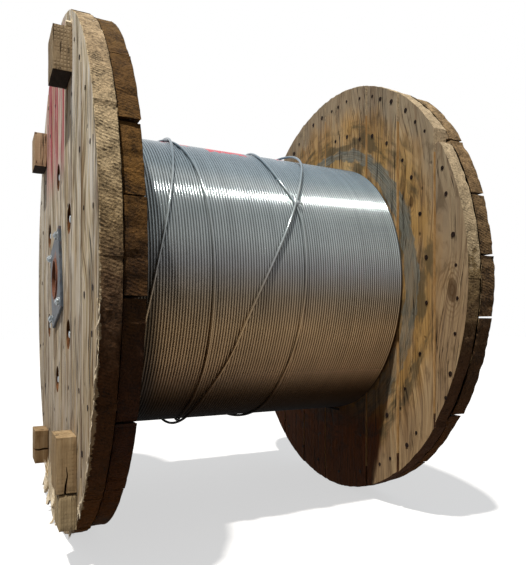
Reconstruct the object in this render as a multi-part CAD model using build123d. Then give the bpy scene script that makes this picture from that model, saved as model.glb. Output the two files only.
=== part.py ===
from build123d import *
import os
from math import cos, pi, radians, sin, tan

# A wooden cable drum on its rims, holding galvanised steel wire strand.
# Millimetres. X runs along the drum's axis, from the near flange to the far one.
# Y runs away from the open front, and Z is up. Everything is built about the
# axis, and the whole drum is moved onto the floor at the end.

# Flanges: two plies of rough boards each, crossed at a right angle
flange_diameter = 1219.2
board_thickness = 40.0
traverse = 714.0

# Barrel of staves between the flanges
barrel_diameter = 610.0
stave_thickness = 38.0
stave_count = 20
stave_gap = 2.0

# Strand wound on the barrel, and its tail lashed over the turns
winding_depth = 59.0
winding_side_gap = 0.5
strand_diameter = 6.4
outer_wire_count = 6
seat_clearance = 0.3
bend_share = 0.45

# Hub: a steel plate and a pipe bushing in each flange
arbor_hole_diameter = 90.0
bushing_wall = 5.8
bushing_proud = 3.0
plate_side = 203.0
plate_thickness = 6.0
plate_corner_radius = 5.0
plate_turn = -14.0

# Through bolts that draw the flanges onto the barrel
bolt_count = 6
bolt_inside_staves = 17.0
bolt_phase = 33.0
bolt_diameter = 16.0
bolt_hole_clearance = 1.0
bolt_hole_sides = 8
bolt_below_face = 2.0
pocket_diameter = 66.0
pocket_depth = 24.0
washer_side = 45.0
washer_thickness = 4.0
nut_height = 13.0
nut_flats = 24.0
cutter_overrun = 1.0

# Joints between the boards of each ply, as (place, width of the open joint).
# A board that would show less than the least width inside the rim is left out.
least_board = 20.0
near_outer_joints = [
    (-549, 3), (-406, 4), (-262, 3), (-73, 4), (73, 3), (257, 4), (403, 3), (549, 4)]
near_inner_joints = [
    (-436, 3), (-291, 4), (-72, 5), (98, 4), (236, 6), (386, 5), (532, 3)]
far_inner_joints = [
    (-485, 5), (-338, 8), (-190, 6), (45, 2), (190, 3), (338, 4), (485, 4)]
far_outer_joints = [
    (-479, 4), (-336, 6), (-97, 4), (47, 5), (194, 6), (339, 5), (486, 3)]

# How far each board's ends fall short of the full rim, in the same order
near_outer_wear = [3, 1, 2, 0, 6, 0, 3, 2, 5]
near_inner_wear = [9, 4, 7, 0, 5, 2, 4, 6]
far_inner_wear = [9, 3, 5, 4.6, 5, 2, 3, 6]
far_outer_wear = [10, 7, 4, 0, 2, 5, 1, 6]

# Offcut cleats nailed on the near flange: front edge, bottom, depth, height, proud
cleat_places = [
    (-281, 408, 104, 95, 38),
    (284, 347, 100, 98, 34),
    (238, -503, 100, 93, 36),
    (-352, -448, 98, 112, 38),
    (-350, -522, 90, 72, 33)]

# Route of the tail strand: turn angle from the open front, place along the axis
# and lift above the winding. The angle falls as the strand runs on, down the front.
tail_route = [
    (285, 350, 0), (250, 318, 0), (210, 262, 0), (170, 190, 0), (130, 122, 0), (90, 52, 0),
    (64, 29, 0), (50, 26, 0), (38, 40, 0), (30, 72, 0), (15, 69, 0), (0, 70, 0), (-20, 62, 0),
    (-49, 45, 0), (-65, 41, 0), (-110, -4, 0), (-150, -54, 0), (-200, -118, 0), (-250, -185, 0),
    (-274, -212, 0), (-291, -187, 0), (-306, -179, 0), (-322, -166, 0), (-345, -158, 0),
    (-396, -157, 0), (-427, -170, 0), (-470, -116, 0), (-500, -54, 7), (-540, 14, 0),
    (-575, 72, 0), (-600, 112, 7), (-630, 165, 10), (-653, 172, 9), (-670, 122, 5),
    (-683, 86, 7), (-689, 67, 7), (-699, 37, 7), (-718, -27, 0), (-736, -79, 0),
    (-751, -103, 0), (-768, -135, 0), (-781, -154, 3), (-796, -162, 10), (-815, -168, 6),
    (-860, -174, 0), (-900, -180, 0), (-961, -186, 7), (-985, -187, 4), (-1010, -189, 7),
    (-1025, -210, 5), (-1049, -236, 0), (-1074, -277, 0), (-1093, -300, 0), (-1120, -327, 0),
    (-1150, -349, 0)]
tail_step = 18.0

flange_radius = flange_diameter / 2
inner_face = traverse / 2
ply_face = inner_face + board_thickness
outer_face = inner_face + 2 * board_thickness
barrel_radius = barrel_diameter / 2
winding_radius = barrel_radius + winding_depth
bolt_circle_radius = barrel_radius - stave_thickness - bolt_inside_staves
bushing_radius = arbor_hole_diameter / 2 + bushing_wall
bolt_hole_radius = (bolt_diameter + bolt_hole_clearance) / 2
plate_face = outer_face + plate_thickness


def disc(radius, start, end):
    """A round bar on the drum's axis from one place along it to another."""
    return extrude(Plane.YZ.offset(start) * Circle(radius), end - start)


def prism(flats, sides, start, end):
    """A bar of equal sides on the drum's axis, measured across its flats."""
    outline = RegularPolygon(flats / 2, sides, major_radius=False)
    return extrude(Plane.YZ.offset(start) * outline, end - start)


def bolt_places():
    """Where the through bolts cross a flange, as (Y, Z)."""
    places = []
    for number in range(bolt_count):
        angle = radians(bolt_phase + number * 360 / bolt_count)
        places.append((bolt_circle_radius * cos(angle), bolt_circle_radius * sin(angle)))
    return places


def flange_cutters(side):
    """Everything bored through a flange: hub hole, bolt pockets and the hidden bolt holes."""
    past_outer = side * (outer_face + cutter_overrun)
    ends = sorted((side * (inner_face - cutter_overrun), past_outer))
    cutters = [disc(bushing_radius + seat_clearance, *ends)]
    pocket_ends = sorted((side * (outer_face - pocket_depth), past_outer))
    for y, z in bolt_places():
        cutters.append(Pos(0, y, z) * prism(2 * bolt_hole_radius, bolt_hole_sides, *ends))
        cutters.append(Pos(0, y, z) * disc(pocket_diameter / 2, *pocket_ends))
    return cutters


def boards(name, upright, joints, wear, x_low, cutters):
    """One ply: parallel boards sawn to the rim, each a little short of it by its wear."""
    edges = [(-flange_diameter, 0), *joints, (flange_diameter, 0)]
    made = {}
    for number, short in enumerate(wear, 1):
        low = max(edges[number - 1][0] + edges[number - 1][1] / 2, -flange_radius)
        high = min(edges[number][0] - edges[number][1] / 2, flange_radius)
        if high - low < least_board:
            continue
        if upright:
            strip = Pos((low + high) / 2, 0) * Rectangle(high - low, flange_diameter)
        else:
            strip = Pos(0, (low + high) / 2) * Rectangle(flange_diameter, high - low)
        outline = Circle(flange_radius - short) & strip
        board = extrude(Plane.YZ.offset(x_low) * outline, board_thickness)
        box = board.bounding_box()
        for cutter in cutters:
            if box.overlaps(cutter.bounding_box()):
                board = board - cutter
        made[f"{name}_{number}"] = board
    return made


def flange(side, outer_upright, outer_joints, outer_wear, inner_joints, inner_wear):
    """Both plies of a flange, crossed, with what is bored through them."""
    name = "near" if side < 0 else "far"
    cutters = flange_cutters(side)
    inner_low = min(side * inner_face, side * ply_face)
    outer_low = min(side * ply_face, side * outer_face)
    made = boards(f"{name}_outer_board", outer_upright, outer_joints, outer_wear,
                  outer_low, cutters)
    made.update(boards(f"{name}_inner_board", not outer_upright, inner_joints, inner_wear,
                       inner_low, cutters))
    return made


def barrel_staves():
    """Bevelled staves in a ring, their backs turned round for the winding."""
    flat = barrel_radius - stave_thickness
    half_turn = pi / stave_count
    reach = barrel_radius + stave_thickness
    inner_half = flat * tan(half_turn) - stave_gap / 2
    outer_half = reach * tan(half_turn) - stave_gap / 2
    section = Polygon((flat, -inner_half), (reach, -outer_half), (reach, outer_half),
                      (flat, inner_half), align=None) & Circle(barrel_radius)
    stave = extrude(Plane.YZ.offset(-inner_face) * section, traverse)
    return [Rot(X=number * 360 / stave_count) * stave for number in range(stave_count)]


def wire_winding():
    """The wound strand as one turned body with its bore on the barrel."""
    half_length = inner_face - winding_side_gap
    body = disc(winding_radius, -half_length, half_length)
    return body - disc(barrel_radius + seat_clearance, -inner_face, inner_face)


def tail_points():
    """Corners of the tail's path, evenly stepped round the winding."""
    middle_radius = winding_radius + strand_diameter / 2 + seat_clearance
    first, last = tail_route[0][0], tail_route[-1][0]
    steps = round((first - last) / tail_step)
    half_step = radians((first - last) / steps / 2)
    points = []
    leg = 0
    for number in range(steps + 1):
        angle = first + (last - first) * number / steps
        while leg < len(tail_route) - 2 and angle < tail_route[leg + 1][0]:
            leg += 1
        a_from, x_from, lift_from = tail_route[leg]
        a_to, x_to, lift_to = tail_route[leg + 1]
        share = (a_from - angle) / (a_from - a_to)
        x = x_from + (x_to - x_from) * share
        radius = (middle_radius + lift_from + (lift_to - lift_from) * share) / cos(half_step)
        points.append(Vector(x, -radius * cos(radians(angle)), radius * sin(radians(angle))))
    return points


def tail_strand():
    """The strand's loose end, lashed round the turns to hold them."""
    points = tail_points()
    radii = []
    for before, here, after in zip(points, points[1:], points[2:]):
        turn = radians((here - before).get_angle(after - here))
        shorter = min((here - before).length, (after - here).length)
        radii.append(bend_share * shorter / tan(turn / 2))
    print("tail corner radii from", round(min(radii)), "to", round(max(radii)))
    path = FilletPolyline(*points, radius=radii)
    outline = RegularPolygon(strand_diameter / 2, outer_wire_count)
    strand = sweep(Plane(path @ 0, z_dir=path % 0) * outline, path)
    print("tail volume against section times length",
          round(strand.volume / (outline.area * path.length), 4))
    return strand


def hub_plates():
    """Square steel plates on the flanges' outer faces, round the bushings."""
    square = RectangleRounded(plate_side, plate_side, plate_corner_radius)
    outline = Rot(Z=plate_turn) * square - Circle(bushing_radius + seat_clearance)
    return [extrude(Plane.YZ.offset(start) * outline, plate_thickness)
            for start in (-plate_face, outer_face)]


def hub_bushings():
    """Pipes through both plies and the plates, the bores for the drum's spindle."""
    length = plate_face + bushing_proud - inner_face
    pipe = disc(bushing_radius, 0, length) - disc(arbor_hole_diameter / 2, 0, length)
    return [Pos(start, 0, 0) * pipe for start in (-inner_face - length, inner_face)]


def tie_bolts():
    """Through bolts inside the barrel, drawn up on a square washer and a nut in each pocket."""
    end = outer_face - bolt_below_face
    bolt = disc(bolt_diameter / 2, -end, end)
    for side in (-1, 1):
        floor = side * (outer_face - pocket_depth)
        seat = floor + side * washer_thickness
        bolt += prism(washer_side, 4, *sorted((floor, seat)))
        bolt += prism(nut_flats, 6, *sorted((seat, seat + side * nut_height)))
    return [Pos(0, y, z) * bolt for y, z in bolt_places()]


def cleats():
    """Offcuts nailed on the near flange's outer face."""
    made = {}
    for number, (front, bottom, depth, height, proud) in enumerate(cleat_places, 1):
        block = Box(proud, depth, height, align=(Align.MAX, Align.MIN, Align.MIN))
        made[f"near_cleat_{number}"] = Pos(-outer_face, front, bottom) * block
    return made


nodes = flange(-1, True, near_outer_joints, near_outer_wear, near_inner_joints, near_inner_wear)
nodes.update(flange(1, False, far_outer_joints, far_outer_wear, far_inner_joints, far_inner_wear))
nodes["barrel_staves"] = barrel_staves()
nodes["wire_winding"] = wire_winding()
nodes["tail_strand"] = tail_strand()
nodes["hub_plates"] = hub_plates()
nodes["hub_bushings"] = hub_bushings()
for number, bolt in enumerate(tie_bolts(), 1):
    nodes[f"tie_bolt_{number}"] = bolt
nodes.update(cleats())

# The drum is set on the floor, with the middle of its outline over the origin
shapes = {}
for name, made in nodes.items():
    solids = made if isinstance(made, list) else [made]
    shapes[name] = Compound([solid for shape in solids for solid in shape.solids()])
boxes = [shape.bounding_box() for shape in shapes.values()]
middle_x = (min(box.min.X for box in boxes) + max(box.max.X for box in boxes)) / 2
middle_y = (min(box.min.Y for box in boxes) + max(box.max.Y for box in boxes)) / 2
axis_height = -min(box.min.Z for box in boxes)
to_floor = Pos(-middle_x, -middle_y, axis_height)
print("the drum's axis stands", round(axis_height, 3), "above the floor, and its middle is at X",
      round(-middle_x, 3), "Y", round(-middle_y, 3))

os.makedirs("parts", exist_ok=True)
for name, shape in shapes.items():
    export_step(to_floor * shape, f"parts/{name}.step")
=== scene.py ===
import math

import bmesh
import bpy
import numpy as np
from mathutils import Matrix, Vector, noise


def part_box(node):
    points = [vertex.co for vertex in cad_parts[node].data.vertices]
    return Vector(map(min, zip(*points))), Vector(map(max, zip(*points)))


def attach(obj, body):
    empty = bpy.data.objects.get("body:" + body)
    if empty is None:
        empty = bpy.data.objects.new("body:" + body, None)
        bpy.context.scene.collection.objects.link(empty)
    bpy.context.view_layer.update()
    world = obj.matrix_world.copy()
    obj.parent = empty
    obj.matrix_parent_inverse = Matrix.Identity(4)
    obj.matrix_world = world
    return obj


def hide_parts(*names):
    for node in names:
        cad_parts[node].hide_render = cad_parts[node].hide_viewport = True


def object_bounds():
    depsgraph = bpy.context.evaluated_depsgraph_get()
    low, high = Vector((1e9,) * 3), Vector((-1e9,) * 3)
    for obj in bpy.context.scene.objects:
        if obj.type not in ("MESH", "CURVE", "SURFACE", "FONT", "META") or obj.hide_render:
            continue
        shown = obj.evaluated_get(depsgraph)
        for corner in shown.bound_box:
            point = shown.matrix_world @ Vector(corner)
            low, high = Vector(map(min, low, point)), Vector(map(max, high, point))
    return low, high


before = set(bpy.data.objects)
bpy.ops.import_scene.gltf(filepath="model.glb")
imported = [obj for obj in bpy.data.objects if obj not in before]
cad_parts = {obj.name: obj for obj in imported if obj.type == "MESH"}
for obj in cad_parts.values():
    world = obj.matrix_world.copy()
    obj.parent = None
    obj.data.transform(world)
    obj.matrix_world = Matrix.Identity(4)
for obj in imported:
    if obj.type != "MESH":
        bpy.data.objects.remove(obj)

# A weathered wooden cable drum standing on its rims, wound with galvanised strand.
# Lengths in the tables are millimetres about the middle of the drum's axis, with X
# along the axis, Y away from the open front and Z up. place() puts them in the frame.
cad_low, cad_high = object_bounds()
winding_low, winding_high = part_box("wire_winding")
DRUM_MIDDLE = (winding_low + winding_high) / 2
MM = 0.001
WINDING_RADIUS = (winding_high.z - winding_low.z) / 2 / MM
WINDING_LENGTH = (winding_high.x - winding_low.x) / MM
FLANGE_RADIUS = 609.6
OUTER_FACE = 437.0
TURN_PITCH = 6.5
STRAND_RADIUS = 3.2
WIRE_SPACING = 0.0056


def place(x, y, z):
    """A point about the drum's middle in millimetres, as a point of the frame."""
    return DRUM_MIDDLE + Vector((x, y, z)) * MM


def linear(code):
    """An sRGB hex colour as linear RGBA."""
    parts = [int(code[i:i + 2], 16) / 255 for i in (0, 2, 4)]
    return (*[p / 12.92 if p <= 0.04045 else ((p + 0.055) / 1.055) ** 2.4 for p in parts], 1.0)


def add(tree, kind, links=None, out=0, stops=None, **settings):
    """Adds a node, with its settings, colour stops and linked or set inputs."""
    made = tree.nodes.new(kind)
    for name, value in settings.items():
        setattr(made, name, value)
    for number, (spot, code) in enumerate(stops or ()):
        if number >= len(made.color_ramp.elements):
            made.color_ramp.elements.new(1.0)
        made.color_ramp.elements[number].position = spot
        made.color_ramp.elements[number].color = linear(code)
    for key, value in (links or {}).items():
        if isinstance(value, bpy.types.NodeSocket):
            tree.links.new(value, made.inputs[key])
        else:
            made.inputs[key].default_value = value
    return made if out is None else made.outputs[out]


# ---- camera ----
camera_data = bpy.data.cameras.new("view")
camera_data.sensor_width = 36.0
camera_data.lens = 37.88
camera_data.shift_x = -0.095
camera_data.shift_y = 0.0845
camera = bpy.data.objects.new("view", camera_data)
bpy.context.scene.collection.objects.link(camera)
camera.location = place(-595.2, -1604.9, -127.1)
camera.rotation_euler = (math.radians(90), 0, math.radians(-29.176))
bpy.context.scene.camera = camera
bpy.context.scene.view_settings.view_transform = "Standard"


# ---- finishes ----
class Finish:
    """A material being made, with the places that its patterns read."""

    def __init__(self, name, rough, metallic=0.0, sheen=0.15):
        self.made = bpy.data.materials.new(name)
        self.made.use_nodes = True
        self.tree = self.made.node_tree
        self.shader = self.tree.nodes["Principled BSDF"]
        self.shader.inputs["Roughness"].default_value = rough
        self.shader.inputs["Metallic"].default_value = metallic
        self.shader.inputs["Specular IOR Level"].default_value = sheen
        spot = self.add("TexCoord", out="Object")
        self.drum = self.add("Mapping", {"Vector": spot, "Location": -DRUM_MIDDLE})
        parts = self.add("SeparateXYZ", {0: self.drum}, out=None)
        self.x, self.y, self.z = parts.outputs
        flat = self.add("VectorMath", {0: self.drum, 1: (0, 1, 1)}, operation="MULTIPLY")
        self.radius = self.add("VectorMath", {0: flat}, out="Value", operation="LENGTH")
        self.turn = self.add("Math", {0: self.y, 1: self.z}, operation="ARCTAN2")
        self.tone = self.add("Attribute", out="Fac", attribute_name="tone")
        shift = self.add("VectorMath", {0: (3.1, 5.7, 4.3), "Scale": self.tone}, operation="SCALE")
        self.own = self.add("VectorMath", {0: self.drum, 1: shift}, operation="ADD")

    def add(self, kind, links=None, out=0, **settings):
        return add(self.tree, "ShaderNode" + kind, links, out, **settings)

    def lumps(self, size, low=0.35, high=0.65, spot=None, detail=3.0, rough=0.6):
        """Cloudy noise from 0 to 1, with clouds this many millimetres long on X, Y and Z."""
        scale = tuple(1000 / part for part in size)
        mapped = self.add("Mapping", {"Vector": spot or self.own, "Scale": scale})
        cloud = self.add("TexNoise", {"Vector": mapped, "Scale": 1.0, "Detail": detail, "Roughness": rough})
        return self.add("MapRange", {0: cloud, 1: low, 2: high})

    def around(self, size, low=0.4, high=0.6, detail=3.0):
        """Cloudy noise that runs round the drum: this many degrees long and millimetres wide."""
        polar = self.add("CombineXYZ", {0: self.turn, 1: self.radius})
        scale = (57.3 / size[0], 1000 / size[1], 1.0)
        mapped = self.add("Mapping", {"Vector": polar, "Scale": scale})
        cloud = self.add("TexNoise", {"Vector": mapped, "Scale": 1.0, "Detail": detail, "Roughness": 0.6})
        return self.add("MapRange", {0: cloud, 1: low, 2: high})

    def times(self, *values):
        """The product of several masks."""
        made = values[0]
        for value in values[1:]:
            made = self.add("Math", {0: made, 1: value}, operation="MULTIPLY")
        return made

    def plus(self, *values):
        """The sum of (value, weight) pairs."""
        made = 0.0
        for value, weight in values:
            made = self.add("Math", {0: value, 1: weight, 2: made}, operation="MULTIPLY_ADD")
        return made

    def step(self, value, low, high):
        """A soft edge from 0 at low to 1 at high."""
        return self.add("MapRange", {0: value, 1: low, 2: high}, interpolation_type="SMOOTHSTEP")

    def invert(self, value):
        return self.add("Math", {0: 1.0, 1: value}, operation="SUBTRACT")

    def mix(self, share, under, over, blend="MIX"):
        over = linear(over) if isinstance(over, str) else over
        return self.add("Mix", {0: share, 6: under, 7: over}, out=2, data_type="RGBA", blend_type=blend)

    def by_height(self, stops, blur=None):
        """A colour read from height: stops are (metres above the axis, colour), lowest first."""
        height = self.z if blur is None else self.plus((self.z, 1.0), (blur, 0.07))
        level = self.add("MapRange", {0: height, 1: -0.61, 2: 0.61})
        return self.add("ValToRGB", {0: level}, stops=[((z + 0.61) / 1.22, code) for z, code in stops])

    def done(self, colour, height=None, depth=0.001, strength=1.0):
        self.tree.links.new(colour, self.shader.inputs["Base Color"])
        if height is not None:
            bump = self.add("Bump", {"Height": height, "Distance": depth, "Strength": strength})
            self.tree.links.new(bump, self.shader.inputs["Normal"])
        return self.made


def grain_size(upright, across, along):
    return (across, across, along) if upright else (across, along, across)


def timber(finish, upright, stops, wide=1.0, knots=0.7):
    """Weathered softwood: flowing streaks, ring figure, knots, checks along the grain and pits."""
    drift = finish.lumps(grain_size(upright, 130 * wide, 420), 0.3, 0.7, detail=1.0)
    drift = finish.add("MapRange", {0: drift, 3: -0.022 * wide, 4: 0.022 * wide})
    sideways = (0.0, 1.0, 0.0) if upright else (0.0, 0.0, 1.0)
    bent = finish.add("VectorMath", {0: sideways, "Scale": drift}, operation="SCALE")
    bent = finish.add("VectorMath", {0: finish.own, 1: bent}, operation="ADD")
    cells = finish.add("Mapping", {"Vector": finish.own, "Scale": grain_size(upright, 7.4, 3.1)})
    near = finish.add("TexVoronoi", {"Vector": cells, "Scale": 1.0}, out=None)
    chance = finish.add("SeparateXYZ", {0: near.outputs["Color"]})
    chance = finish.add("Math", {0: chance, 1: knots}, operation="GREATER_THAN")
    knot = finish.times(finish.step(near.outputs["Distance"], 0.13, 0.05), chance)
    halo = finish.times(finish.step(near.outputs["Distance"], 0.3, 0.08), chance)
    fine = finish.lumps(grain_size(upright, 3.6 * wide, 130), spot=bent, detail=5.0)
    middle = finish.lumps(grain_size(upright, 11 * wide, 340), spot=bent, detail=3.0)
    broad = finish.lumps(grain_size(upright, 36 * wide, 760), 0.38, 0.62, spot=bent, detail=2.0)
    rings = finish.lumps(grain_size(upright, 120, 1100), 0.0, 1.0, spot=bent, detail=1.0)
    rings = finish.plus((rings, 110.0), (halo, 9.0))
    rings = finish.add("Math", {0: rings}, operation="SINE")
    rings = finish.add("MapRange", {0: rings, 1: -1.0, 2: 1.0})
    value = finish.plus((broad, 0.3), (middle, 0.27), (fine, 0.26), (rings, 0.17))
    colour = finish.add("ValToRGB", {0: value}, stops=stops)
    colour = finish.mix(finish.times(halo, 0.35), colour, "8a5f34")
    colour = finish.mix(finish.times(knot, 0.8), colour, "5a3a1f")
    check = finish.lumps(grain_size(upright, 9 * wide, 420), 0.0, 1.0, spot=bent, detail=2.0)
    check = finish.add("Math", {0: check, 1: 0.5}, operation="SUBTRACT")
    check = finish.add("Math", {0: check}, operation="ABSOLUTE")
    check = finish.add("MapRange", {0: check, 1: 0.006, 2: 0.018, 3: 1.0, 4: 0.0})
    check = finish.times(check, finish.lumps(grain_size(upright, 50, 210), 0.49, 0.55))
    cells = finish.add("Mapping", {"Vector": finish.own, "Scale": grain_size(upright, 36 / wide, 24)})
    pit = finish.add("TexVoronoi", {"Vector": cells, "Scale": 1.0}, out=None)
    chance = finish.add("SeparateXYZ", {0: pit.outputs["Color"]})
    chance = finish.add("Math", {0: chance, 1: 0.88}, operation="GREATER_THAN")
    pit = finish.add("MapRange", {0: pit.outputs["Distance"], 1: 0.1, 2: 0.2, 3: 1.0, 4: 0.0})
    dark = finish.add("Math", {0: check, 1: finish.times(pit, chance)}, operation="MAXIMUM")
    height = finish.plus((value, 0.9), (knot, 0.5), (dark, -1.1))
    return colour, dark, height, fine


def near_face_finish():
    """Sun-bleached pine: cream to grey-tan streaks, black checks, and old red paint that ran down."""
    finish = Finish("weathered_pine_near_face", 0.85)
    colour, dark, height, fine = timber(finish, True, (
        (0.16, "7a684f"), (0.30, "cdbb98"), (0.42, "f3e6cb"), (0.62, "fffaef")), wide=2.2, knots=0.6)
    grey = finish.lumps((60, 90, 420), 0.5, 0.66, spot=finish.drum)
    colour = finish.mix(finish.times(grey, 0.4), colour, "c0bbad")
    warm = finish.lumps((60, 50, 300), 0.55, 0.7, spot=finish.drum)
    colour = finish.mix(finish.times(warm, 0.45), colour, "d0ab7a")
    low = finish.add("MapRange", {0: finish.z, 1: 0.3, 2: -0.58, 3: 0.0, 4: 0.8})
    colour = finish.mix(low, colour, "8a6f49")
    back = finish.times(finish.step(finish.y, 0.0, 0.5), 0.25)
    colour = finish.mix(back, colour, "82735c")
    shaded = finish.step(finish.z, 0.5, 0.2)
    soaked = finish.times(finish.lumps((50, 60, 150), 0.52, 0.64, detail=4.0), shaded, 0.6)
    colour = finish.mix(soaked, colour, "6d5a40")
    heart = finish.lumps((50, 38, 260), 0.56, 0.63, spot=finish.drum, detail=4.0)
    colour = finish.mix(finish.times(heart, shaded, 0.65), colour, "785c3c")
    # Painted shadow: the top cleat's cast shadow, a blue-grey streak below the cleat slanted along the light.
    run = finish.plus((finish.y, 1.0), (finish.z, 0.27), (1.0, 0.118))
    painted_shade = finish.times(finish.step(finish.y, -0.285, -0.275), finish.step(run, -0.05, -0.07),
                        finish.step(finish.z, 0.2, 0.3), finish.step(finish.z, 0.42, 0.41), 0.7)
    colour = finish.mix(painted_shade, colour, "4b4c4c")
    drips = finish.lumps((30, 15, 700), 0.485, 0.52, spot=finish.drum, detail=2.0)
    worn = finish.add("MapRange", {0: fine, 1: 0.0, 2: 0.35, 3: 0.45, 4: 1.0})
    reach = finish.times(finish.step(finish.z, 0.20, 0.32), finish.step(finish.z, 0.60, 0.55),
                         finish.step(finish.y, -0.16, -0.14), finish.step(finish.y, 0.31, 0.27))
    colour = finish.mix(finish.times(drips, worn, reach), colour, "b02f4c")
    wash = finish.times(finish.step(finish.z, 0.16, 0.30), reach, 0.2)
    colour = finish.mix(wash, colour, "cf7f78")
    colour = finish.mix(finish.times(dark, 0.93), colour, "17100a")
    return finish.done(colour, height, 0.0026)


def far_face_finish(name, upright, inner):
    """Pine that is grey by the rim and orange-brown further in, with blue-grey scuffs round the turns."""
    finish = Finish(name, 0.82)
    colour, dark, height, fine = timber(finish, upright, (
        (0.14, "755a3a"), (0.34, "ad8a5e"), (0.58, "cda876"), (0.84, "e2c494")), wide=1.2, knots=0.8)
    tint = finish.add("Math", {0: finish.tone, 1: 7.3}, operation="MULTIPLY")
    tint = finish.add("Math", {0: tint}, operation="FRACT")
    colour = finish.mix(finish.times(tint, 0.3), colour, "8b7462")
    patch = finish.lumps((80, 60, 130), 0.36, 0.64, spot=finish.drum, detail=4.0)
    out = finish.plus((finish.radius, 1.0), (patch, 0.05))
    rim = finish.times(finish.step(out, 0.52, 0.585), finish.add("MapRange", {
        0: finish.z, 1: -0.1, 2: 0.38, 3: 0.35, 4: 0.95}))
    warm = finish.times(finish.step(out, 0.56, 0.47), finish.lumps((50, 70, 150), 0.38, 0.55, spot=finish.drum))
    colour = finish.mix(finish.times(warm, 0.6), colour, "c2964f")
    colour = finish.mix(finish.times(rim, 0.8), colour, "a99c86")
    streak = finish.lumps(grain_size(upright, 26, 300), 0.52, 0.64, spot=finish.drum)
    colour = finish.mix(finish.times(streak, 0.45), colour, "74573a")
    smear = finish.times(finish.around((16, 46), 0.47, 0.57, 4.0), finish.step(out, 0.55, 0.5))
    colour = finish.mix(finish.times(smear, 0.74), colour, "524c3a")
    stain = finish.lumps((40, 34, 70), 0.56, 0.66, spot=finish.drum, detail=5.0)
    colour = finish.mix(finish.times(stain, 0.5), colour, "5c4a33")
    hatch = finish.add("MapRange", {0: fine, 1: 0.0, 2: 0.4, 3: 0.5, 4: 0.0})
    colour = finish.mix(hatch, colour, "5f4a30")
    for y, z, size in ((-0.394, 0.201, 0.011), (-0.547, -0.033, 0.02)) if inner else ():
        away = finish.add("VectorMath", {0: finish.drum, 1: (0.357, y, z)}, operation="SUBTRACT")
        away = finish.add("VectorMath", {0: away, 1: (0.0, 1.0, 0.55)}, operation="MULTIPLY")
        away = finish.add("VectorMath", {0: away}, out="Value", operation="LENGTH")
        ring = finish.add("Math", {0: finish.plus((away, 900.0), (fine, 2.0))}, operation="SINE")
        ring = finish.times(finish.add("MapRange", {0: ring, 1: -0.2, 2: 1.0}), finish.step(away, size * 2.6, size))
        colour = finish.mix(finish.times(ring, 0.5), colour, "6e5030")
        colour = finish.mix(finish.times(finish.step(away, size, size * 0.5), 0.75), colour, "4f361e")
    if inner:
        shore = finish.around((9, 40), 0.3, 0.7, 4.0)
        rise = finish.step(finish.z, 0.26, 0.40)
        edge = finish.plus((finish.radius, 1.0), (shore, 0.022), (rise, -0.03))
        scratch = finish.around((13, 2.4), 0.3, 0.66, 4.0)
        bare = finish.around((26, 60), 0.34, 0.42, 2.0)
        outer = finish.plus((finish.radius, 1.0), (shore, 0.022))
        band = finish.times(finish.step(edge, 0.376, 0.381), finish.step(outer, 0.437, 0.431), bare)
        faint = finish.add("MapRange", {0: finish.z, 1: -0.32, 2: 0.12, 3: 0.5, 4: 0.93})
        rubbed = finish.add("MapRange", {0: scratch, 3: 0.7, 4: 1.0})
        scuff = finish.add("ValToRGB", {0: scratch}, stops=((0.1, "545750"), (0.55, "74776f"), (0.95, "9b9a8e")))
        colour = finish.mix(finish.times(band, faint, rubbed), colour, scuff)
        height = finish.plus((height, 1.0), (finish.times(scratch, band), 0.3))
    # Painted shadow: the winding's cast shadow low on the far inner face, a dark orange-brown laid along its slanting
    # edge.
    foot = finish.plus((finish.y, 1.0), (finish.z, 0.25), (patch, 0.02))
    foot = finish.times(finish.step(foot, -0.37, -0.34), finish.step(finish.z, -0.3, -0.4))
    if inner:
        colour = finish.mix(finish.times(foot, finish.step(finish.x, 0.0, 0.1), 0.9), colour, "8a4c0c", "MULTIPLY")
    colour = finish.mix(finish.times(dark, 0.9), colour, "120b06")
    return finish.done(colour, height, 0.002)


def rim_finish(name, stops, pale_edge=0.0, contrast=1.0, sawn=0.2):
    """Sawn ends and edges: torn fibres, blade marks across them, pale on top and dark low down, which is painted light
    and shade with some soil soaked in low down.
    """
    finish = Finish(name, 0.92)
    fibre = finish.lumps((5, 5, 5), 0.3, 0.7, detail=5.0, rough=0.65)
    clump = finish.lumps((24, 30, 30), 0.36, 0.64, detail=4.0)
    patch = finish.lumps((70, 130, 130), 0.4, 0.6, detail=3.0)
    arc = finish.times(finish.turn, 0.61)
    skew = finish.plus((arc, 1.0), (finish.x, 0.34), (clump, 0.0035))
    blade = finish.add("Math", {0: skew, 1: 2 * math.pi / 0.0068}, operation="MULTIPLY")
    blade = finish.add("Math", {0: blade}, operation="SINE")
    blade = finish.times(finish.add("MapRange", {0: blade, 1: -1.0, 2: 1.0}), finish.invert(patch))
    value = finish.plus((fibre, 0.52), (clump, 0.3), (patch, 0.12), (blade, sawn), (1.0, -0.25 * sawn + 0.02))
    # Colour by height: painted light on top and painted shade low down, partly soil.
    colour = finish.by_height(stops, clump)
    force = finish.add("MapRange", {0: value, 1: 0.2, 2: 0.8, 3: 1 - 0.72 * contrast, 4: 1 + 0.75 * contrast})
    colour = finish.add("VectorMath", {0: colour, "Scale": force}, operation="SCALE")
    colour = finish.mix(finish.times(finish.step(value, 0.27, 0.12), 0.7), colour, "160c05")
    if pale_edge:
        depth = finish.plus((finish.x, 1.0), (1.0, OUTER_FACE * MM))
        torn = finish.add("MapRange", {0: finish.z, 1: 0.05, 2: -0.25, 3: 0.4, 4: 1.6})
        reach = finish.times(finish.lumps((300, 9, 16), 0.3, 0.72, detail=4.0), torn, pale_edge)
        edge = finish.step(finish.plus((depth, 1.0), (reach, -1.0)), 0.0016, -0.0006)
        colour = finish.mix(finish.times(edge, 0.85), colour, "d9c6a2")
    return finish.done(colour, value, 0.003)


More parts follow.
